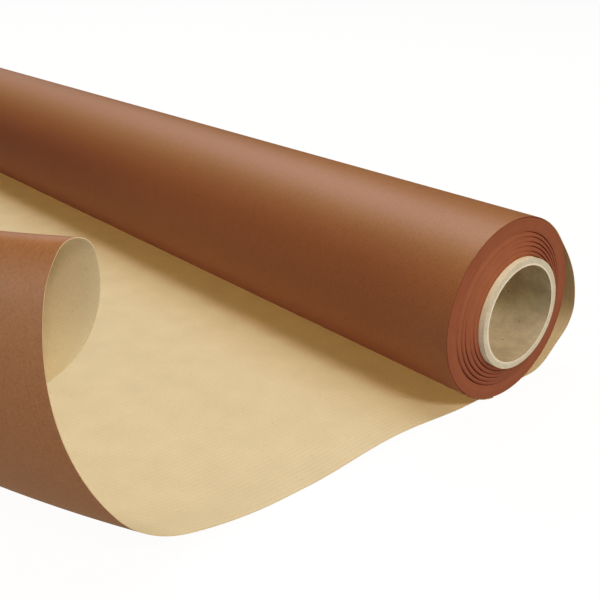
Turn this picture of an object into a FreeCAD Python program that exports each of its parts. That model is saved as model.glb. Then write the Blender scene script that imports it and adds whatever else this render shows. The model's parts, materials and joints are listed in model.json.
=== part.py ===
import FreeCAD, Part
import math
import os

# Wrapping paper roll: a card core, a web of kraft paper wound on it, and a length of the web paid
# out over the surface the roll lies on, with its free end curled up. Millimetres.
# The core's axis is X, through the origin at the middle of the web's width. The web is paid out
# towards -Y, and +Z is up.

# Core.
BORE_RADIUS = 25.0          # inside of the core
PLY_THICKNESS = 0.9         # one wound layer of board
PLY_NAMES = ("core_inner_ply", "core_second_ply", "core_third_ply", "core_outer_ply")
CORE_OVERHANG = 3.0         # core beyond the edges of the turns next to it, at each end

# Wound paper.
WEB_WIDTH = 700.0           # width of the paper, along the core
ROLL_RADIUS = 47.65         # outside of the outermost turn
TELESCOPE = 3.6             # how far the innermost turns have slipped along X
LOOSE_PACKS = 5             # packs of turns near the core that stand a little apart
LOOSE_PACK_THICKNESS = 2.0  # radial thickness of each of them
PACK_GAP = 0.25             # air between one pack and the next
OUTER_EDGE_ROUND = 1.2      # rounding of the outermost pack's edges

# Tape that holds the web's inner end on the core.
TAPE_THICKNESS = 0.2
TAPE_WIDTH = 19.0           # round the core
TAPE_MARGIN = 10.0          # bare core at each end of the tape
TAPE_CLEARANCE = 0.05       # air between the tape and the turns over it

# Paid-out paper.
SHEET_THICKNESS = 0.3       # solid thickness of one layer
SHEET_CLEARANCE = 0.3       # air between layers that move past each other
SHEET_SHIFT = -4.0          # how far the paid-out web lies along X from the wound one
TURN_START = 250.0          # where the outermost turn leaves the layer below, degrees from +Y
TURN_LIFT = 46.0            # where it lifts off the roll, degrees from +Y
FEED_LINE = 70.0            # distance in front of the axis where newly paid-out paper joins
CURL_LINE = 142.0           # distance in front of the axis where the free end starts, near side

# The slack bulge behind the roll: runs of (length, turn in degrees), going down and under.
SLACK_RUNS = ((15.0, 0.0), (14.5, -11.5), (25.0, -24.0), (19.5, -57.5))
LANDING_LENGTH = 17.0       # the last bend, in which the paper comes down flat

# The free end's curl at its near side: runs of (length, turn in degrees), going up and over.
CURL_RUNS = (
    (49.0, 14.6),
    (37.0, 42.1),
    (57.0, 27.1),
    (36.5, 17.7),
    (17.0, 23.9),
    (15.4, 131.5),
    (26.0, 39.7),
    (20.0, 40.0),
)
CURL_SLANT = 0.55           # how fast the curl's foot runs away from the roll, at the near side
CURL_FADE = 200.0           # distance over which that slant dies out
CURL_APEX = 1500.0          # the curl gets smaller as if towards a point this far away
CURL_SECTIONS = 15          # sections that the free end is lofted through
CURL_STATIONS = 72          # points along each section

# Worked-out sizes.
CORE_RADIUS = BORE_RADIUS + PLY_THICKNESS * len(PLY_NAMES)
CORE_LENGTH = WEB_WIDTH + 2 * CORE_OVERHANG
FIRST_TURN_RADIUS = CORE_RADIUS + TAPE_THICKNESS + TAPE_CLEARANCE
TURN_RADIUS = ROLL_RADIUS - SHEET_THICKNESS / 2
WOUND_RADIUS = ROLL_RADIUS - SHEET_THICKNESS - SHEET_CLEARANCE
FLOOR = -ROLL_RADIUS
SHEET_MID = -TURN_RADIUS
NEAR_EDGE = WEB_WIDTH / 2 + SHEET_SHIFT


def export(shape, node):
    """Write one piece to its own file."""
    shape.exportStep("parts/" + node + ".step")


def tube(inner, outer, length, middle):
    """A tube on the X axis, with its middle at the given place."""
    start = FreeCAD.Vector(middle - length / 2, 0, 0)
    along = FreeCAD.Vector(1, 0, 0)
    return Part.makeCylinder(outer, length, start, along).cut(
        Part.makeCylinder(inner, length, start, along))


def make_core():
    """The plies of the core, from the inside out, each glued over the one before."""
    inner = BORE_RADIUS
    for name in PLY_NAMES:
        export(tube(inner, inner + PLY_THICKNESS, CORE_LENGTH, TELESCOPE), name)
        inner += PLY_THICKNESS


def make_start_tape():
    """The strip of tape along the core that holds the web's inner end."""
    length = WEB_WIDTH - 2 * TAPE_MARGIN
    ring = tube(CORE_RADIUS, CORE_RADIUS + TAPE_THICKNESS, length, TELESCOPE)
    half = TAPE_WIDTH / 2
    strip = Part.makeBox(length, TAPE_WIDTH, CORE_RADIUS * 2,
                         FreeCAD.Vector(TELESCOPE - length / 2, -half, 0))
    export(ring.common(strip), "start_tape")


def make_wound_turns():
    """The turns on the core, as packs that have slipped along it by less and less."""
    inner = FIRST_TURN_RADIUS
    for index in range(LOOSE_PACKS):
        slip = TELESCOPE * (1 - index / LOOSE_PACKS)
        outer = inner + LOOSE_PACK_THICKNESS
        export(tube(inner, outer, WEB_WIDTH, slip), "wound_turns_%d" % (index + 1))
        inner = outer + PACK_GAP
    tight = tube(inner, WOUND_RADIUS, WEB_WIDTH, 0)
    rims = [edge for edge in tight.Edges
            if hasattr(edge.Curve, "Radius") and edge.Curve.Radius > inner + PACK_GAP
            and edge.isClosed()]
    export(tight.makeFillet(OUTER_EDGE_ROUND, rims), "wound_turns_%d" % (LOOSE_PACKS + 1))


def advance(station, length, turn):
    """The place (y, z, heading in degrees) one run further along a path."""
    y, z, heading = station
    angle = math.radians(turn)
    chord = length if turn == 0 else 2 * length / angle * math.sin(angle / 2)
    towards = math.radians(heading + turn / 2)
    return (y + chord * math.cos(towards), z + chord * math.sin(towards), heading + turn)


def beside(station, offset, x):
    """The point at a distance to the left of a path, in the plane across X at x."""
    y, z, heading = station
    angle = math.radians(heading)
    return FreeCAD.Vector(x, y - offset * math.sin(angle), z + offset * math.cos(angle))


def layer(start, runs, x):
    """The section of a layer of paper that follows a path of lines and arcs."""
    half = SHEET_THICKNESS / 2
    edges = []
    station = start
    for length, turn in runs:
        middle = advance(station, length / 2, turn / 2)
        end = advance(station, length, turn)
        for side in (half, -half):
            first, last = beside(station, side, x), beside(end, side, x)
            if turn == 0:
                edges.append(Part.makeLine(first, last))
            else:
                edges.append(Part.Arc(first, beside(middle, side, x), last).toShape())
        station = end
    for place in (start, station):
        edges.append(Part.makeLine(beside(place, half, x), beside(place, -half, x)))
    return Part.Face(Part.Wire(Part.__sortEdges__(edges)))


def slack_path():
    """The outermost turn: round the roll, off its back in a slack bulge, and under it."""
    angle = math.radians(TURN_START)
    start = (TURN_RADIUS * math.cos(angle), TURN_RADIUS * math.sin(angle), TURN_START - 90)
    half_wrap = (TURN_START - TURN_LIFT) / 2
    runs = [(TURN_RADIUS * math.radians(half_wrap), -half_wrap)] * 2
    runs += SLACK_RUNS
    station = start
    for length, turn in runs:
        station = advance(station, length, turn)
    landing = (LANDING_LENGTH, -180 - station[2])
    height = station[1] + advance((0, 0, station[2]), *landing)[1] - SHEET_MID
    fall = -math.sin(math.radians(station[2]))
    runs += [(height / fall, 0), landing]
    for length, turn in runs[-2:]:
        station = advance(station, length, turn)
    runs.append((station[0] + FEED_LINE, 0))
    return start, runs


def make_slack_turn():
    """The outermost turn and the run of paper under the roll."""
    start, runs = slack_path()
    section = layer(start, runs, NEAR_EDGE)
    export(section.extrude(FreeCAD.Vector(-WEB_WIDTH, 0, 0)), "slack_turn")


def slant(inset):
    """How far the curl's foot has run away from the roll, at a distance from the near edge."""
    return CURL_SLANT * CURL_FADE * (1 - math.exp(-inset / CURL_FADE))


def hinge_line(inset):
    """Distance in front of the axis of the straight line where the free end is lifted."""
    return CURL_LINE + slant(WEB_WIDTH) * inset / WEB_WIDTH


def curl_station(inset, distance):
    """The free end's place at a distance along the web from the hinge line."""
    foot = CURL_LINE + slant(inset) - hinge_line(inset)
    scale = 1 - slant(inset) / CURL_SLANT / CURL_APEX
    station = (0, SHEET_MID, 0)
    for length, turn in ((foot, 0),) + tuple((run * scale, turn) for run, turn in CURL_RUNS):
        step = min(distance, length)
        if step > 0:
            station = advance(station, step, turn * step / length)
        distance -= step
    return station


def curl_section(inset):
    """The outline of the free end across X, at a distance from its near edge."""
    x = NEAR_EDGE - inset
    start = hinge_line(inset) + SHEET_CLEARANCE / 2
    cut = CURL_LINE + sum(run for run, turn in CURL_RUNS)
    length = cut - start
    sides = []
    for offset in (SHEET_THICKNESS / 2, -SHEET_THICKNESS / 2):
        points = []
        for index in range(CURL_STATIONS + 1):
            y, z, heading = curl_station(inset, length * index / CURL_STATIONS)
            point = beside((y, z, heading), offset, x)
            points.append(FreeCAD.Vector(x, -start - point.y, point.z))
        sides.append(points)
    upper, lower = sides
    edges = []
    for points in sides:
        curve = Part.BSplineCurve()
        curve.interpolate(points)
        edges.append(curve.toShape())
    edges.insert(1, Part.makeLine(upper[-1], lower[-1]))
    edges.append(Part.makeLine(lower[0], upper[0]))
    return Part.Wire(Part.__sortEdges__(edges))


def make_free_end():
    """The curled free end, from the hinge line to its cut edge."""
    sections = []
    for index in range(CURL_SECTIONS):
        share = index / (CURL_SECTIONS - 1)
        sections.append(curl_section(WEB_WIDTH * share * (1 + share) / 2))
    export(Part.makeLoft(sections, True, True), "free_end")


def make_laid_sheet():
    """The paper that lies flat between the roll and the free end."""
    far_edge = NEAR_EDGE - WEB_WIDTH
    back = -FEED_LINE - SHEET_CLEARANCE
    corners = (
        (NEAR_EDGE, back),
        (NEAR_EDGE, -hinge_line(0) + SHEET_CLEARANCE / 2),
        (far_edge, -hinge_line(WEB_WIDTH) + SHEET_CLEARANCE / 2),
        (far_edge, back),
    )
    outline = [FreeCAD.Vector(x, y, FLOOR) for x, y in corners]
    face = Part.Face(Part.makePolygon(outline + outline[:1]))
    export(face.extrude(FreeCAD.Vector(0, 0, SHEET_THICKNESS)), "laid_sheet")


os.makedirs("parts", exist_ok=True)
make_core()
make_start_tape()
make_wound_turns()
make_slack_turn()
make_laid_sheet()
make_free_end()
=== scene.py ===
# %% [markdown]
# The object is a roll of wrapping paper. A card core runs along X, the web of paper is wound on
# it, and one length of the web has been rolled out towards -Y, where its free end curls up.
# The paper is brown on the side that faces out of the roll and bare ribbed kraft on the other.
# The packed model is loaded first, as the frame that every piece has to fit. A copy of its sizes
# would do for the shapes, but the frame also brings the joints and the packed parts that the
# pieces take the place of.

# %% Load the frame
import json
import math
import random

import bpy
from mathutils import Matrix, Vector


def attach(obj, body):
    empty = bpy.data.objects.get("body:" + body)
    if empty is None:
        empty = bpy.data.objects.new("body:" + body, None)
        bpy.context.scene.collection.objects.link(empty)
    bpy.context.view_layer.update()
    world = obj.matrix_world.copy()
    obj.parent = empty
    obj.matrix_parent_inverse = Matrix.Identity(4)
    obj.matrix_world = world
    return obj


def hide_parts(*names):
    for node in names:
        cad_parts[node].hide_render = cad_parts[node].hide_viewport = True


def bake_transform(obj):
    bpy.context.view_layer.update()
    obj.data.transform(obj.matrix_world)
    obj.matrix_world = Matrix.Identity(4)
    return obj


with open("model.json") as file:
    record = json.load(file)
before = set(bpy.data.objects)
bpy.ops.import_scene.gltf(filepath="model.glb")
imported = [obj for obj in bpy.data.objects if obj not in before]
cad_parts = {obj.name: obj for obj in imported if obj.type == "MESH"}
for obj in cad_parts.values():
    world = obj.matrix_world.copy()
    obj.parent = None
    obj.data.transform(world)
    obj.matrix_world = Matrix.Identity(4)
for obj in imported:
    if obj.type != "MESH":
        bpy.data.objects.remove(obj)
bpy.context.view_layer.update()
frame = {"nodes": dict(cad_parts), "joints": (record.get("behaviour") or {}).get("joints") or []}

MM = 0.001
print("nodes:", sorted(frame["nodes"]))

# %% [markdown]
# Sizes that more than one piece needs are kept together, and the rest are named where they are
# first used. Nearly all of them are the packed model's own, so that each piece lands where it
# should. Two are eased by a few millimetres further down: where the last turn lifts off the
# roll, and how far the lip of the free end goes on.

# %% Sizes shared by the pieces
WEB_WIDTH = 700 * MM
SHEET = 0.3 * MM
CORE_LENGTH = 706 * MM
CORE_BORE = 25.0 * MM
PLY = 0.9 * MM
CORE_RADIUS = CORE_BORE + 4 * PLY
TELESCOPE = 3.6 * MM
PACK_GAP = 0.25 * MM
LAST_GAP = 0.30 * MM
ROLL_RADIUS = 47.65 * MM
TURN_RADIUS = ROLL_RADIUS - SHEET / 2
WOUND_RADIUS = ROLL_RADIUS - SHEET - LAST_GAP
SHEET_MID = -TURN_RADIUS
NEAR_EDGE = 346 * MM
FLOOR = -ROLL_RADIUS
print("core radius", round(CORE_RADIUS / MM, 2), "mm, roll radius", ROLL_RADIUS / MM, "mm")

# %% [markdown]
# The camera stands low in front of the roll's near end and looks down at it by 23 degrees, so
# that the end face, the flat run and the inside of the curl are all seen. It could be aimed with
# a Track To constraint. Three axes written down are simpler to check, and they keep it fixed.

# %% Camera
eye = Vector((0.5857, -0.3390, 0.1765))
ahead = Vector((-0.69807, 0.59814, -0.39360)).normalized()
across = ahead.cross(Vector((0, 0, 1))).normalized()
upward = across.cross(ahead)
camera_data = bpy.data.cameras.new("camera")
camera_data.sensor_width = 36
camera_data.lens = 52.856
camera_data.clip_start = 0.01
camera = bpy.data.objects.new("camera", camera_data)
bpy.context.scene.collection.objects.link(camera)
axes = Matrix((across, upward, -ahead)).transposed().to_4x4()
camera.matrix_world = Matrix.Translation(eye) @ axes
bpy.context.scene.camera = camera
print("camera looks down by", round(math.degrees(math.asin(-ahead.z)), 1), "degrees")

# %% [markdown]
# The Standard view transform shows a finish as it was mixed. A curve leaves the light tones
# nearly alone and deepens the dark ones, as happens to shade beside a bright table. Darker
# materials could do that too, but they would then be wrong where the light falls on them, and in
# every other scene.

# %% Tone of the picture
DEEPENED = ((0.05, 0.016), (0.1, 0.041), (0.2, 0.138), (0.3, 0.243), (0.45, 0.42),
            (0.65, 0.64), (0.8, 0.797))
view = bpy.context.scene.view_settings
view.view_transform = "Standard"
view.use_curve_mapping = True
tone_curve = view.curve_mapping.curves[3]
for tone, shown in DEEPENED:
    tone_curve.points.new(tone, shown)
view.curve_mapping.update()
print("tone 0.1 is shown as", dict(DEEPENED)[0.1], "and 0.8 as", dict(DEEPENED)[0.8])

# %% [markdown]
# Shader maths reads best as sums. The class Wire wraps a node's output and turns + and * into
# Math nodes. The alternative, a page of links for each finish, hides the idea of the finish
# behind its plumbing.

# %% Wires
class Wire:
    """An output of a node, which can be used in sums."""

    def __init__(self, finish, socket):
        self.finish = finish
        self.socket = socket

    def maths(self, operation, first, second):
        return self.finish.node("Math", {"operation": operation}, {0: first, 1: second})

    def __add__(self, other):
        return self.maths("ADD", self, other)

    def __radd__(self, other):
        return self.maths("ADD", other, self)

    def __mul__(self, other):
        return self.maths("MULTIPLY", self, other)

    def __rmul__(self, other):
        return self.maths("MULTIPLY", other, self)


print("wires can be added and multiplied")

# %% [markdown]
# A Finish is a material that grows node by node. Its method node() makes any node in one call:
# its type, its settings and then what goes into its sockets. The other methods are the few
# mixtures that paper and board need again and again. Node groups could hold them as well, but a
# method takes plain numbers and leaves nothing behind in the file.

# %% Finishes
class Finish:
    """A material or a world, built node by node."""

    def __init__(self, name, owner=None):
        self.owner = owner or bpy.data.materials.new(name)
        self.owner.use_nodes = True
        self.tree = self.owner.node_tree
        self.tree.nodes.clear()

    def node(self, kind, settings=None, sockets=None, out=0):
        """Makes a node and returns one of its outputs."""
        made = self.tree.nodes.new("ShaderNode" + kind)
        for key, value in (settings or {}).items():
            setattr(made, key, value)
        for key, value in (sockets or {}).items():
            if isinstance(value, Wire):
                self.tree.links.new(value.socket, made.inputs[key])
            else:
                made.inputs[key].default_value = value
        return Wire(self, made.outputs[out]) if made.outputs else made

    def here(self):
        """The place on the object, in metres."""
        return self.node("TexCoord", out="Object")

    def web(self):
        """The place on the unrolled web, in metres."""
        return self.node("UVMap", {"uv_map": "web"})

    def parts(self, vector):
        """The three numbers of a vector."""
        split = self.node("SeparateXYZ", {}, {0: vector})
        return [Wire(self, socket) for socket in split.socket.node.outputs]

    def from_axis(self, place):
        """How far a place is from the roll's axis."""
        x, y, z = self.parts(place)
        flat = self.node("CombineXYZ", {}, {1: y, 2: z})
        return self.node("VectorMath", {"operation": "LENGTH"}, {0: flat}, out="Value")

    def stretched(self, vector, scale):
        """The coordinates scaled along each axis."""
        return self.node("Mapping", {}, {"Vector": vector, "Scale": scale})

    def noise(self, vector, scale, detail=2.0, roughness=0.5):
        return self.node("TexNoise", {}, {"Vector": vector, "Scale": scale,
                                          "Detail": detail, "Roughness": roughness})

    def rings(self, radius, per_metre, detail=1.0, roughness=0.5):
        """Noise that changes with the radius only, so that it makes rings."""
        return self.node("TexNoise", {"noise_dimensions": "1D"},
                         {"W": radius * per_metre, "Scale": 1.0,
                          "Detail": detail, "Roughness": roughness})

    def clamped(self, value, low, high):
        """A smooth step of the value, from 0 at low to 1 at high."""
        return self.node("MapRange", {"interpolation_type": "SMOOTHSTEP"},
                         {"Value": value, "From Min": low, "From Max": high})

    def blended(self, factor, first, second):
        """A colour that goes from the first to the second with the factor."""
        ends = [end if isinstance(end, Wire) else (*end, 1) for end in (first, second)]
        return self.node("Mix", {"data_type": "RGBA"}, {0: factor, 6: ends[0], 7: ends[1]}, out=2)

    def tinted(self, colour, amount):
        """The colour made lighter or darker by a number that varies."""
        grey = self.node("CombineXYZ", {}, {0: amount, 1: amount, 2: amount})
        return self.node("VectorMath", {"operation": "MULTIPLY"}, {0: colour, 1: grey})

    def surface(self, colour, roughness, bump=None, depth=0.0, **fixed):
        """The shader that everything ends in. Bumps stand as high as the depth."""
        sockets = {"Base Color": colour, "Roughness": roughness}
        for key, value in fixed.items():
            sockets[key.replace("_", " ")] = value
        if bump is not None:
            sockets["Normal"] = self.node("Bump", {}, {"Height": bump, "Strength": 1.0,
                                                       "Distance": depth})
        shader = self.node("BsdfPrincipled", {}, sockets)
        self.node("OutputMaterial", {}, {"Surface": shader})
        return self.owner


print("a finish has the methods", [name for name in vars(Finish) if not name.startswith("_")])

# %% [markdown]
# The paper lies on a plain white floor. The floor is mostly lit from within, as a light table is,
# so that only a trace of shadow shows on it, and it sends no light of its own onto the paper.
# A white shell round the scene carries the same white above the horizon. Both are seen by the
# camera alone. A white floor lit by the lamps alone would be simpler, but its shadows would be
# far darker, and it would brighten the paper from below.

# %% Floor and backdrop
ROOM_RADIUS = 8
BELOW_PAPER = 0.6 * MM
FLOOR_GLOW = 0.945
FLOOR_REFLECTANCE = 0.06
SHELL_GLOW = 0.998


def camera_only(piece):
    """Shown to the camera, but not mirrored in the paper or lighting it."""
    piece.visible_diffuse = False
    piece.visible_glossy = False
    piece.visible_transmission = False
    piece.visible_volume_scatter = False
    piece.visible_shadow = False


def white_finish(name, glow, reflectance):
    finish = Finish(name)
    return finish.surface((reflectance, reflectance, reflectance, 1), 1.0,
                          Specular_IOR_Level=0.0, Emission_Strength=1.0,
                          Emission_Color=(glow, glow, glow, 1))


bpy.ops.object.select_all(action="DESELECT")
bpy.ops.mesh.primitive_plane_add(size=2 * ROOM_RADIUS, location=(0, 0, FLOOR - BELOW_PAPER))
floor = bpy.context.object
floor.name = "floor"
floor.data.materials.append(white_finish("white floor", FLOOR_GLOW, FLOOR_REFLECTANCE))
camera_only(floor)
bpy.ops.mesh.primitive_uv_sphere_add(radius=ROOM_RADIUS, location=(0, 0, 0))
shell = bpy.context.object
shell.name = "white_shell"
shell.data.materials.append(white_finish("white shell", SHELL_GLOW, 0.0))
camera_only(shell)
print("floor at", round(FLOOR / MM, 2), "mm")

# %% [markdown]
# Six soft lights share the work. A wide box overhead, towards the far end and a little behind the
# roll, sets where the roll's shoulder turns dark. A faint one beyond the far end is mirrored in
# the satin brown. Beyond the near end a small high box shines into the core's mouth, and a low
# one lights the stacked edges. A low fill in front lights the outside of the curl, and the curl
# keeps it off the roll. The last is warm and casts no shadow: it stands for the golden light that
# thin kraft lets through. One strong lamp would be simpler, but it would draw hard edges.

# %% Lights
def softbox(name, towards, distance, size, level, colour=(1, 1, 1)):
    """A soft area light that faces the origin. Level 1 alone lights white paper fully."""
    data = bpy.data.lights.new(name, "AREA")
    data.shape = "RECTANGLE"
    data.size, data.size_y = size
    data.energy = level * math.pi ** 2 * distance ** 2
    data.color = colour
    lamp = bpy.data.objects.new(name, data)
    bpy.context.scene.collection.objects.link(lamp)
    back = Vector(towards).normalized()
    side = Vector((1, 0, 0)) if abs(back.x) < 0.9 else Vector((0, 1, 0))
    side = (side - side.dot(back) * back).normalized()
    turn = Matrix((side, back.cross(side), back)).transposed().to_4x4()
    lamp.matrix_world = Matrix.Translation(back * distance) @ turn
    lamp.visible_camera = False
    return lamp


softbox("overhead_softbox", (-0.40, 0.18, 0.90), 2.6, (2.2, 1.8), 0.48, (0.96, 0.99, 1.0))
softbox("far_softbox", (-0.85, 0.30, 0.45), 2.6, (1.8, 1.4), 0.06, (0.95, 0.98, 1.0))
softbox("high_end_softbox", (1.0, -0.10, 0.80), 2.5, (0.5, 0.5), 0.33, (1.0, 0.96, 0.88))
softbox("low_end_softbox", (1.0, -0.40, 0.04), 2.4, (1.2, 0.6), 0.26, (1.0, 0.93, 0.82))
softbox("front_fill", (-0.1, -1.0, 0.09), 2.6, (2.6, 0.4), 0.24)
warmth = softbox("warm_fill", (0.15, -0.05, 1.0), 2.6, (1.5, 1.5), 0.46, (1.0, 0.81, 0.57))
warmth.data.use_shadow = False

# %% [markdown]
# A dim world fills in the rest, as a pale room does. It is brighter below the horizon, where a
# real table would throw light back, and beyond the near end, so that the end face isn't lost.
# A sky picture would light more richly, but it would bring in colours that nobody chose.

# %% World
world = bpy.data.worlds.new("studio")
bpy.context.scene.world = world
room = Finish("studio", world)
along, outward, height = room.parts(room.node("TexCoord", out="Generated"))
above = room.clamped(height, -0.1, 1.0) * 0.04
below = room.clamped(height, 0.1, -0.2) * 0.42
beside = room.clamped(along, 0.3, 1.0) * 0.18
glow = room.node("Background", {}, {"Color": (1.0, 0.95, 0.87, 1),
                                    "Strength": 0.03 + above + below + beside})
room.node("OutputWorld", {}, {"Surface": glow})
print("the world has", len(room.tree.nodes), "nodes")

# %% [markdown]
# The brown side is a coated print: smooth and satin, with the fine grain of the sheet showing
# through as tiny changes of tone and shine. An even colour would look like plastic. Noise of
# three sizes is mixed instead: a broad drift, a mottle of a few millimetres and a grain as fine as
# the fibres, with faint streaks along the web. The pattern is laid out on the web, so it follows
# the paper round every bend.

# %% Brown side
BROWN = (0.342, 0.184, 0.110)
PAPER_BUMP = 0.08 * MM


def brown_side():
    finish = Finish("brown side")
    place = finish.web()
    drift = finish.noise(place, 9.0, 2.0)
    mottle = finish.noise(place, 210.0, 3.0, 0.6)
    grain = finish.noise(place, 900.0, 4.0, 0.75)
    streak = finish.noise(finish.stretched(place, (1400.0, 120.0, 1.0)), 1.0, 2.0)
    tone = 0.46 + drift * 0.08 + mottle * 0.14 + grain * 0.70 + streak * 0.16
    shine = 0.42 + mottle * 0.06 + grain * 0.10
    height = grain * 0.6 + streak * 0.2 + mottle * 0.4
    return finish.surface(finish.tinted(BROWN, tone), shine, height, PAPER_BUMP,
                          Specular_IOR_Level=0.70)


print("brown:", BROWN, "with bumps about", round(PAPER_BUMP / MM, 2), "mm high")

# %% [markdown]
# The other side is bare kraft. It is machine-ribbed: fine ridges about 2.6 mm apart run along the
# length of the web. On them lie the long fibres, a few darker specks, and the cloudiness of
# unevenly settled pulp. The ribs are a sine of the distance across the web, nudged by noise so
# that they waver, and they go to both the tone and the bump. They fade out on the curled end,
# where the kraft looks plain. Modelled ridges would need millions of faces for the same look.

# %% Kraft side
KRAFT = (0.645, 0.557, 0.408)
SPECK = (0.44, 0.29, 0.14)
RIB_PITCH = 2.6 * MM
RIBS_GONE = -320 * MM
RIBS_FULL = -200 * MM


def kraft_side():
    finish = Finish("kraft side")
    place = finish.web()
    across_web, along_web, nothing = finish.parts(place)
    waver = finish.noise(finish.stretched(place, (60.0, 9.0, 1.0)), 1.0, 1.0)
    phase = across_web * (2 * math.pi / RIB_PITCH) + waver * 3.0
    rib = finish.node("Math", {"operation": "SINE"}, {0: phase})
    faint = finish.noise(finish.stretched(place, (35.0, 14.0, 1.0)), 1.0, 2.0)
    rib = rib * (0.35 + faint * 1.1) * finish.clamped(along_web, RIBS_GONE, RIBS_FULL)
    cloud = finish.noise(place, 55.0, 3.0, 0.55)
    fibre = finish.noise(finish.stretched(place, (2600.0, 420.0, 1.0)), 1.0, 3.0, 0.65)
    grain = finish.noise(place, 1700.0, 2.0, 0.6)
    speck = finish.clamped(finish.noise(place, 520.0, 1.0), 0.70, 0.78)
    tone = 0.72 + rib * 0.022 + cloud * 0.16 + fibre * 0.20 + grain * 0.22
    colour = finish.blended(speck * 0.28, finish.tinted(KRAFT, tone), SPECK)
    height = rib * 0.08 + fibre * 0.5 + grain * 0.4
    return finish.surface(colour, 0.72 + fibre * 0.12, height, PAPER_BUMP,
                          Specular_IOR_Level=0.22)


print("there are", round(WEB_WIDTH / RIB_PITCH), "ribs across the web")

# %% [markdown]
# Where the web is cut, its edge shows. On the paper that is free, the edge is a thin pale line,
# because the pulp inside is lighter than either face. On the roll the brown coating has been
# dragged over the edges as they were slit, so the last turn's edge is brown, and the place along
# the web tells the two apart. Two sheets with a finish each would show a step between them.

# %% Cut edge
PALE_EDGE = (0.66, 0.53, 0.36)
BROWN_EDGE = (0.30, 0.14, 0.085)
BROWN_EDGE_STARTS = 128 * MM
BROWN_EDGE_FULL = 168 * MM


def cut_edge():
    finish = Finish("cut edge")
    across_web, along_web, nothing = finish.parts(finish.web())
    on_roll = finish.clamped(along_web, BROWN_EDGE_STARTS, BROWN_EDGE_FULL)
    tooth = finish.noise(finish.here(), 1600.0, 3.0, 0.7)
    pale = finish.tinted(PALE_EDGE, 0.80 + tooth * 0.35)
    dark = finish.tinted(BROWN_EDGE, 0.75 + tooth * 0.45)
    return finish.surface(finish.blended(on_roll, pale, dark), 0.75, tooth, 0.05 * MM,
                          Specular_IOR_Level=0.25)


PAPER_FACES = (kraft_side(), brown_side(), cut_edge())
print("paper finishes:", [material.name for material in PAPER_FACES])

# %% [markdown]
# The shape of a sheet of paper is a path drawn on a plane across the roll: straight runs and arcs,
# one after another. A station on that path is a place and a heading, and walk() goes one run
# further. A curve object could be drawn instead, but paper doesn't stretch, and here the length
# of the path is always the length of the web.

# %% Walking along a path
def walk(station, length, turn):
    """The place (y, z) and heading in degrees, one run of a path further on."""
    y, z, heading = station
    angle = math.radians(turn)
    chord = length if turn == 0 else 2 * length / angle * math.sin(angle / 2)
    towards = math.radians(heading + turn / 2)
    return (y + chord * math.cos(towards), z + chord * math.sin(towards), heading + turn)


def follow(start, runs, distance):
    """The station at a distance along a path of runs."""
    station = start
    for length, turn in runs:
        step = min(distance, length)
        if step <= 0:
            break
        station = walk(station, step, turn * step / length)
        distance -= step
    return station


def smooth(value, low, high):
    """A smooth step from 0 at low to 1 at high."""
    share = max(0.0, min(1.0, (value - low) / (high - low)))
    return share * share * (3 - 2 * share)


print("half a circle 1 m long climbs by", round(walk((0.0, 0.0, 0.0), 1.0, 180)[1], 3), "m")

# %% [markdown]
# The first sheet lies flat from the seam in front of the roll, runs under it, rises behind it in
# a slack bulge, and then hugs it as the outermost turn. The bulge comes from paper that is
# springier than the tight turns below. Each run is a length and the angle it turns by. One
# straight run, the rise, is worked out, so that the path meets the roll exactly where it should.

# %% Path of the last turn
SEAM = -0.120
LIFT = 40.0
LANDING = (17.0 * MM, 43.0)
BULGE = ((19.5 * MM, 57.5), (25.0 * MM, 22.0), (14.5 * MM, 7.5), (12.0 * MM, 0.0))
WRAP_END = 262.0

lift_y = TURN_RADIUS * math.cos(math.radians(LIFT))
lift_z = TURN_RADIUS * math.sin(math.radians(LIFT))
without_rise = (0.0, SHEET_MID, 0.0)
for run in (LANDING, *BULGE):
    without_rise = walk(without_rise, *run)
slope = math.radians(LANDING[1])
rise = (lift_z - without_rise[1]) / math.sin(slope)
touch_down = lift_y - without_rise[0] - rise * math.cos(slope)
wrap = TURN_RADIUS * math.radians(WRAP_END - LIFT)
turn_runs = ((touch_down - SEAM, 0.0), LANDING, (rise, 0.0), *BULGE, (wrap, WRAP_END - LIFT))
turn_length = sum(length for length, turn in turn_runs)
lift_place = SEAM + turn_length - wrap
print("the turn lands at y", round(touch_down / MM, 1), "mm and takes", round(turn_length, 4), "m")

# %% [markdown]
# A sheet starts as a flat grid, as the paper does. Its places on the flat web are written into a
# UV map first, so that ribs and grain stay on the paper however it is bent. Then each point is
# moved to where the path takes it, and Solidify gives the sheet its two faces and its cut edge,
# each with its own finish. A cloth simulation could bend it too, but not to a chosen shape.

# %% A flat grid that becomes a sheet
SHEET_CREASE = math.radians(35)


def flat_grid(name, start, length, columns, rows):
    """A grid on the web, with its places written to the UV map "web"."""
    bpy.ops.object.select_all(action="DESELECT")
    middle = (0, start + length / 2, 0)
    bpy.ops.mesh.primitive_grid_add(x_subdivisions=columns, y_subdivisions=rows, size=1,
                                    location=middle)
    sheet = bpy.context.object
    sheet.name = name
    sheet.data.name = name
    sheet.scale = (WEB_WIDTH, length, 1)
    bpy.ops.object.transform_apply(location=True, rotation=True, scale=True)
    web = sheet.data.uv_layers[0]
    web.name = "web"
    for loop in sheet.data.loops:
        place = sheet.data.vertices[loop.vertex_index].co
        web.data[loop.index].uv = (place.x, place.y)
    return sheet


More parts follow.
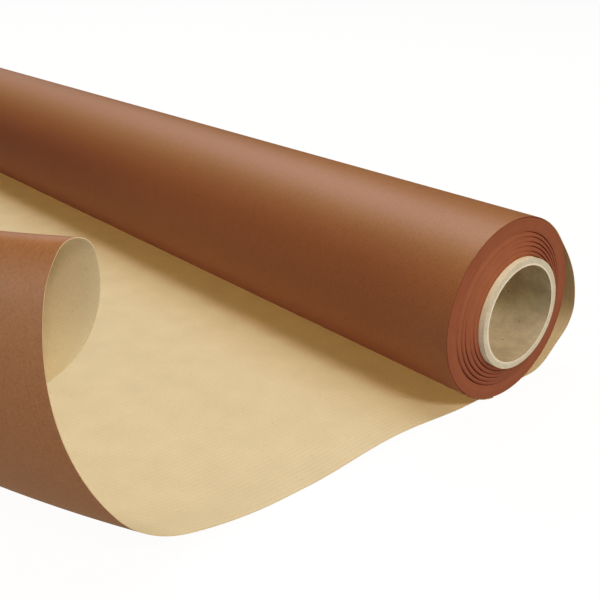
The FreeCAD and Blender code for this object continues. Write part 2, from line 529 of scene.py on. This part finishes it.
def thicken(sheet):
    """Gives a bent sheet its thickness, its two faces and its cut edge."""
    for material in PAPER_FACES:
        sheet.data.materials.append(material)
    wall = sheet.modifiers.new("thickness", "SOLIDIFY")
    wall.thickness = SHEET
    wall.offset = 0
    wall.material_offset = 1
    wall.material_offset_rim = 2
    bpy.context.view_layer.objects.active = sheet
    sheet.select_set(True)
    bpy.ops.object.modifier_apply(modifier=wall.name)
    bpy.ops.object.shade_smooth_by_angle(angle=SHEET_CREASE)
    print(sheet.name, "has", len(sheet.data.polygons), "faces")


print("a sheet is", round(SHEET / MM, 2), "mm thick")

# %% [markdown]
# Paper is never quite flat. Between the roll and the curl the near edge bows up by some 3 mm,
# because both pull on it, and the bow dies out away from the edge. The turn on the roll wavers by
# a few hundredths of a millimetre, which is enough to keep the light on it from being even. A
# Displace modifier could add both, but the bow has to end where the paper starts to rise.

# %% Bow of the near edge and unevenness of the turn
BOW_HEIGHT = 3.4 * MM
BOW_MIDDLE = -75 * MM
BOW_HALF = 55 * MM
BOW_FADE = 90 * MM
WAVER = 0.03 * MM


def bow(inset, y):
    """How far the flat paper stands off the floor, this far from the near edge."""
    share = min(1.0, abs(y - BOW_MIDDLE) / BOW_HALF)
    return BOW_HEIGHT * math.cos(share * math.pi / 2) ** 2 * math.exp(-(inset / BOW_FADE) ** 2)


def unevenness(x, place):
    """A slow waver of the paper, made of waves that cross."""
    return WAVER * (math.sin(x * 23 + place * 9) * math.sin(place * 31 - x * 7)
                    + 0.5 * math.sin(x * 61 - place * 17 + 1.3))


print("the near edge bows up by", round(bow(0, BOW_MIDDLE) / MM, 1), "mm")

# %% [markdown]
# Now the first sheet is bent. Each point goes to its station on the path. The turn on the roll
# lies square with it, and on its way down to the table the paper drifts 4 mm towards the far end,
# because nobody rolls paper out quite straight. It could be bent turn by turn with Simple Deform
# modifiers, but a path takes the slack bulge and the tight turn in one go.

# %% The last turn and the flat paper in front of it
ROLLED_COLUMNS = 70
ROLLED_ROWS = 250
WAVER_STARTS_OVER = 50 * MM

sideways = NEAR_EDGE - WEB_WIDTH / 2
rolled = flat_grid("rolled_paper", SEAM, turn_length, ROLLED_COLUMNS, ROLLED_ROWS)
for vertex in rolled.data.vertices:
    x, place, nothing = vertex.co
    y, z, heading = follow((SEAM, SHEET_MID, 0.0), turn_runs, place - SEAM)
    on_roll = smooth(place, touch_down, lift_place)
    wave = unevenness(x, place) * smooth(place, lift_place, lift_place + WAVER_STARTS_OVER)
    lifted = bow(WEB_WIDTH / 2 - x, y) if place < touch_down else 0.0
    angle = math.radians(heading)
    vertex.co = (x + sideways * (1 - on_roll),
                 y - wave * math.sin(angle),
                 z + lifted + wave * math.cos(angle))
thicken(rolled)

# %% [markdown]
# The free end remembers the roll. It rises from the floor, turns over and hooks back on itself.
# Its foot runs away from the roll towards the far side, quickly at first, and the curl gets a
# little smaller as if it were part of a cone. It could be bent with a Simple Deform modifier, but
# that knows only one radius, and this curl has nine.

# %% Shape of the curl
CURL_FOOT = 142 * MM
CURL = ((49.0, 14.6), (37.0, 42.1), (57.0, 27.1), (36.5, 17.7), (17.0, 23.9), (15.4, 131.5),
        (26.0, 39.7), (20.0, 40.0), (4.0, 4.0))
CURL_SLANT = 0.55
CURL_FADE = 200 * MM
CURL_APEX = 1500 * MM
free_edge = CURL_FOOT + sum(length for length, turn in CURL) * MM


def slant(inset):
    """How far the curl's foot has run away from the roll, this far from the near edge."""
    return CURL_SLANT * CURL_FADE * (1 - math.exp(-inset / CURL_FADE))


def curl_place(inset, reach):
    """Where the web's point at a reach in front of the roll's axis lies, as (y, z, heading)."""
    foot = CURL_FOOT + slant(inset)
    scale = (1 - slant(inset) / CURL_SLANT / CURL_APEX) * MM
    runs = [(foot, 0.0)] + [(length * scale, turn) for length, turn in CURL]
    y, z, heading = follow((0.0, SHEET_MID, 0.0), runs, reach)
    return -y, z, heading


print("the curl turns by", round(sum(turn for length, turn in CURL), 1), "degrees")

# %% [markdown]
# The second sheet starts at the seam, where the first one ends, and has the same bow there, so
# that the two meet without a step. Its rows are more than twice as close as its columns, because
# it bends far more along the web than across it. One long sheet could carry both, but the frame
# lets a piece stretch between two bodies only, and this web spans three.

# %% The curled free end
CURLED_COLUMNS = 140
CURLED_ROWS = 150

curled = flat_grid("curled_paper", -free_edge, free_edge + SEAM, CURLED_COLUMNS, CURLED_ROWS)
for vertex in curled.data.vertices:
    x, place, nothing = vertex.co
    inset = WEB_WIDTH / 2 - x
    y, z, heading = curl_place(inset, -place)
    lifted = bow(inset, y) if heading == 0 else 0.0
    vertex.co = (x + sideways, y, z + lifted)
thicken(curled)

# %% [markdown]
# The wound web is hundreds of turns, slit along with the roll and slipped by a hair against each
# other. Modelling all of them would cost millions of faces, so they are grouped into packs. Each
# pack is drawn as a card model-maker would turn a ring: a circle is extruded outwards turn by
# turn, each time a hair forwards or back, then along the roll, and inwards again. Where a pack
# leans, each turn also stands back from the one inside it, as the steps of a flat cone do.

# %% One pack of turns
RING_POINTS = 144
TURN_STEP = 0.30 * MM


def extrude_ring(shift, grow):
    """Extrudes the selected ring of edges along the roll and outwards from its axis."""
    bpy.ops.mesh.extrude_region_move(TRANSFORM_OT_translate={"value": (shift, 0, 0)})
    if grow != 1.0:
        bpy.ops.transform.resize(value=(1, grow, grow), center_override=(0, 0, 0))


def close_ring():
    """Bridges the bore of a ring and points its faces outwards."""
    bpy.ops.mesh.select_all(action="DESELECT")
    bpy.ops.mesh.select_mode(type="EDGE")
    bpy.ops.mesh.select_non_manifold()
    bpy.ops.mesh.bridge_edge_loops()
    bpy.ops.mesh.select_all(action="SELECT")
    bpy.ops.mesh.remove_doubles(threshold=0.001 * MM)
    bpy.ops.mesh.normals_make_consistent(inside=False)


def turned_ring(name, inner, outer, middle, width, slip, seed, lean=0.0):
    """A tube on the X axis whose ends slip a little, and lean back, turn by turn."""
    chance = random.Random(seed)
    turns = max(2, round((outer - inner) / TURN_STEP))
    outwards = range(turns + 1)
    outline = []
    for side, order in ((middle + width / 2, outwards), (middle - width / 2, outwards[::-1])):
        for turn in order:
            outline.append((side - lean * turn / turns + chance.uniform(-slip, slip),
                            inner + (outer - inner) * turn / turns))
    bpy.ops.object.select_all(action="DESELECT")
    bpy.ops.mesh.primitive_circle_add(vertices=RING_POINTS, radius=inner,
                                      location=(0, 0, 0), rotation=(0, math.pi / 2, 0))
    ring = bpy.context.object
    ring.name = name
    ring.data.name = name
    bpy.ops.object.transform_apply(location=True, rotation=True, scale=True)
    bpy.ops.object.mode_set(mode="EDIT")
    bpy.ops.mesh.select_all(action="SELECT")
    place, radius = outline[0]
    bpy.ops.transform.translate(value=(place, 0, 0))
    for next_place, next_radius in outline[1:]:
        extrude_ring(next_place - place, next_radius / radius)
        place, radius = next_place, next_radius
    close_ring()
    bpy.ops.object.mode_set(mode="OBJECT")
    return ring


print("a pack's edges step every", round(TURN_STEP / MM, 2), "mm")

# %% [markdown]
# Seen from the end, the roll is a face of stacked edges: red-brown, with fine darker and lighter
# rings that are all centred on the core. A noise that follows only the radius makes them, at two
# sizes, and a third that follows the place keeps a ring from being the same all the way round.
# The faces of the turns inside show only down a gap, where hardly any light comes, so they get
# one plain finish for the outside and one for the inside. The inside face is bare kraft, but it is
# given a dark brown, as painted shade that keeps the gaps dark.

# %% Finish of the stacked edges
STACKED = (0.310, 0.142, 0.096)
FINE_BUMP = 0.05 * MM


def stacked_edges():
    finish = Finish("stacked edges")
    place = finish.here()
    radius = finish.from_axis(place)
    lines = finish.rings(radius, 5200.0, 2.0, 0.7)
    bands = finish.rings(radius, 900.0)
    wander = finish.noise(place, 120.0, 2.0)
    grain = finish.noise(place, 2200.0, 2.0, 0.7)
    tone = 0.66 + lines * 0.20 + bands * 0.24 + wander * 0.14 + grain * 0.12
    return finish.surface(finish.tinted(STACKED, tone), 0.62, lines * 0.5 + grain * 0.5,
                          FINE_BUMP, Specular_IOR_Level=0.3)


def turn_face(name, colour):
    """The face of a turn inside the roll, seen only down a gap."""
    finish = Finish(name)
    grain = finish.noise(finish.here(), 900.0, 3.0, 0.65)
    return finish.surface(finish.tinted(colour, 0.75 + grain * 0.5), 0.6, grain, FINE_BUMP,
                          Specular_IOR_Level=0.3)


# The inside faces get dark brown in place of kraft: painted shade for the gaps between packs.
PACK_FACES = (stacked_edges(), turn_face("turn outside", (0.29, 0.14, 0.09)),
              turn_face("turn inside", (0.31, 0.17, 0.11)))
print("pack finishes:", [material.name for material in PACK_FACES])

# %% [markdown]
# The packs near the core are loose: the gaps between them open towards the upper back and the
# lower front, and close in between, because the roll has been squeezed a little out of round.
# A gap opens when the faces on both sides of it move apart, so each pack's inner and outer face
# are moved by a share of that and it stays one solid ring. Where a gap is open, the rims beside it
# fall back along the roll as well. Moving whole packs off centre would open one side only.

# %% Loosening a pack
RIM_BACK = 0.40 * MM


def loosen(pack, inner, outer, opening, angle, outer_share):
    """Opens and closes the gaps beside a pack round the roll, and rounds its rims there."""
    for vertex in pack.data.vertices:
        x, y, z = vertex.co
        radius = math.hypot(y, z)
        share = (radius - inner) / (outer - inner)
        swing = math.cos(2 * (math.atan2(z, y) - math.radians(angle)))
        open_here = (0.5 + 0.5 * swing) ** 3
        across = (1 - share) - outer_share * share
        moved = radius + opening * (2 * open_here - 1) * across
        back = RIM_BACK * (0.12 + 0.88 * open_here) * abs(across) ** 4
        vertex.co = (x - math.copysign(back, x), y * moved / radius, z * moved / radius)


def face_finishes(ring, materials):
    """Gives the ends, the outside and the inside of a ring their finishes."""
    for material in materials:
        ring.data.materials.append(material)
    for face in ring.data.polygons:
        y, z = face.center.y, face.center.z
        if abs(face.normal.x) > 0.5:
            face.material_index = 0
        elif face.normal.y * y + face.normal.z * z > 0:
            face.material_index = 1
        else:
            face.material_index = 2


print("rims fall back by up to", round(RIM_BACK / MM, 2), "mm")

# %% [markdown]
# Five thin loose packs and a thick tight one fill the roll from the core to the last turn. The
# loose ones have slipped out towards the near end, the innermost with the core and each next one
# less, so that the end face is a shallow cone. Each pack opens its gaps at an angle of its own,
# near 45 degrees above the level of the axis, because equal gaps would look machined.

# %% The six packs
LOOSE_PACKS = 5
PACK_THICKNESS = 2.0 * MM
PACK_SEED = 40
EDGE_SLIP = 0.03 * MM
OPENING = 0.100 * MM
OPENING_STEP = 0.009 * MM
OPEN_ANGLES = (53.0, 39.0, 55.0, 36.0, 49.0, 45.0)
RING_CREASE = math.radians(30)

inner = CORE_RADIUS + PACK_GAP
for index, angle in enumerate(OPEN_ANGLES):
    tight = index == LOOSE_PACKS
    outer = WOUND_RADIUS if tight else inner + PACK_THICKNESS
    middle = 0.0 if tight else TELESCOPE * (1 - index / LOOSE_PACKS)
    pack = turned_ring("turns_pack_%d" % (index + 1), inner, outer, middle, WEB_WIDTH,
                       EDGE_SLIP, PACK_SEED + index, 0.0 if tight else TELESCOPE / LOOSE_PACKS)
    loosen(pack, inner, outer, OPENING + OPENING_STEP * (index % 3), angle, 0.0 if tight else 1.0)
    face_finishes(pack, PACK_FACES)
    bpy.ops.object.shade_smooth_by_angle(angle=RING_CREASE)
    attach(pack, "roll")
    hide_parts("wound_turns_%d" % (index + 1))
    print(pack.name, round(inner / MM, 2), "to", round(outer / MM, 2), "mm")
    inner = outer + PACK_GAP

# %% [markdown]
# The core is grey board wound in four plies, glued one over the other, and sawn to length. The
# sawn ends are fuzzy, and the layers of the board show in them as faint rings. The innermost
# ply's end is painted lighter as a small bright lip: partly the paler frayed board there, partly
# a painted highlight where the edge catches the light. Down the bore lies a smoother liner, cloudy
# and with a few dark specks. One finish for all of it would be quicker and would look like clay.

# %% Core finishes
LINER_COLOUR = (0.51, 0.455, 0.365)
LINER_SPECK = (0.20, 0.15, 0.08)


def board(name, colour):
    finish = Finish(name)
    place = finish.here()
    fuzz = finish.noise(place, 900.0, 4.0, 0.7)
    mottle = finish.noise(place, 260.0, 3.0, 0.6)
    layer = finish.rings(finish.from_axis(place), 2600.0)
    tone = 0.52 + fuzz * 0.42 + mottle * 0.26 + layer * 0.22
    return finish.surface(finish.tinted(colour, tone), 0.85, fuzz * 0.7 + layer * 0.5, 0.22 * MM,
                          Specular_IOR_Level=0.2)


def core_liner():
    finish = Finish("core liner")
    place = finish.here()
    cloud = finish.noise(place, 130.0, 4.0, 0.65)
    fibre = finish.noise(finish.stretched(place, (500.0, 1500.0, 1500.0)), 1.0, 3.0, 0.65)
    speck = finish.clamped(finish.noise(place, 240.0, 1.0), 0.73, 0.79)
    tone = 0.52 + cloud * 0.66 + fibre * 0.26
    colour = finish.blended(speck * 0.5, finish.tinted(LINER_COLOUR, tone), LINER_SPECK)
    return finish.surface(colour, 0.68 + fibre * 0.15, fibre, 0.10 * MM,
                          Specular_IOR_Level=0.3)


# The lip is lighter than the plies: partly paler frayed board, partly painted highlight.
LIP_WITH_PAINTED_HIGHLIGHT = board("sawn lip with painted highlight", (0.82, 0.72, 0.61))
PLIES = board("sawn plies", (0.61, 0.56, 0.465))
WOUND = board("wound board", (0.74, 0.685, 0.58))
LINER = core_liner()
print("core finishes:", [material.name for material in (LIP_WITH_PAINTED_HIGHLIGHT, PLIES, WOUND, LINER)])

# %% [markdown]
# The four plies are turned in the same way as the packs, one over the other, and each stands for
# its own strip of board. The saw leaves their ends a hair uneven. A tube with a bevel would do
# for the outline, but its end would be one smooth ring and not four.

# %% The four plies
PLY_NODES = ("core_inner_ply", "core_second_ply", "core_third_ply", "core_outer_ply")
PLY_SEED = 70
SAW_SLIP = 0.05 * MM

for index, node in enumerate(PLY_NODES):
    inner = CORE_BORE + PLY * index
    outer = inner + PLY
    ply = turned_ring("core_ring_%d" % (index + 1), inner, outer, TELESCOPE, CORE_LENGTH,
                      SAW_SLIP, PLY_SEED + index)
    face_finishes(ply, (PLIES if index else LIP_WITH_PAINTED_HIGHLIGHT, WOUND, LINER))
    bpy.ops.object.shade_smooth_by_angle(angle=RING_CREASE)
    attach(ply, "roll")
    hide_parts(node)
    print(ply.name, round(inner / MM, 2), "to", round(outer / MM, 2), "mm")

# %% [markdown]
# A strip of paper tape holds the start of the web on the core. It lies under all the turns, so
# the packed solid is kept as it is and only gets a finish of its own: pale, with the crepe that
# lets such tape stretch. A new mesh would add nothing that anyone could see.

# %% Tape that starts the web
def paper_tape():
    finish = Finish("paper tape")
    place = finish.here()
    crepe = finish.noise(finish.stretched(place, (1800.0, 300.0, 300.0)), 1.0, 3.0, 0.6)
    cloud = finish.noise(place, 80.0, 2.0)
    colour = finish.tinted((0.62, 0.54, 0.40), 0.8 + crepe * 0.25 + cloud * 0.15)
    return finish.surface(colour, 0.6 + crepe * 0.2, crepe, 0.06 * MM)


tape = frame["nodes"]["start_tape"]
tape.data.materials.clear()
tape.data.materials.append(paper_tape())
print("the tape's finish is", tape.data.materials[0].name)

# %% [markdown]
# The flat run stays on the table while the roll travels, and the curled end bends along the line
# where it leaves the table. Here both sheets get their transforms baked into their points, the
# packed sheets that they take the place of are hidden, and the direction square to the hinge of
# the curled end is worked out from its joint.

# %% The sheets take the place of the packed ones
lift_joint = next(joint for joint in frame["joints"] if joint["name"] == "free_end_lift")
away = Vector((-lift_joint["axis"][1], lift_joint["axis"][0], 0))
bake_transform(rolled)
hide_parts("slack_turn", "laid_sheet")
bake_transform(curled)
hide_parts("free_end")
print("sheets:", round(turn_length, 3), "m and", round(free_edge + SEAM, 3), "m long")

# %% [markdown]
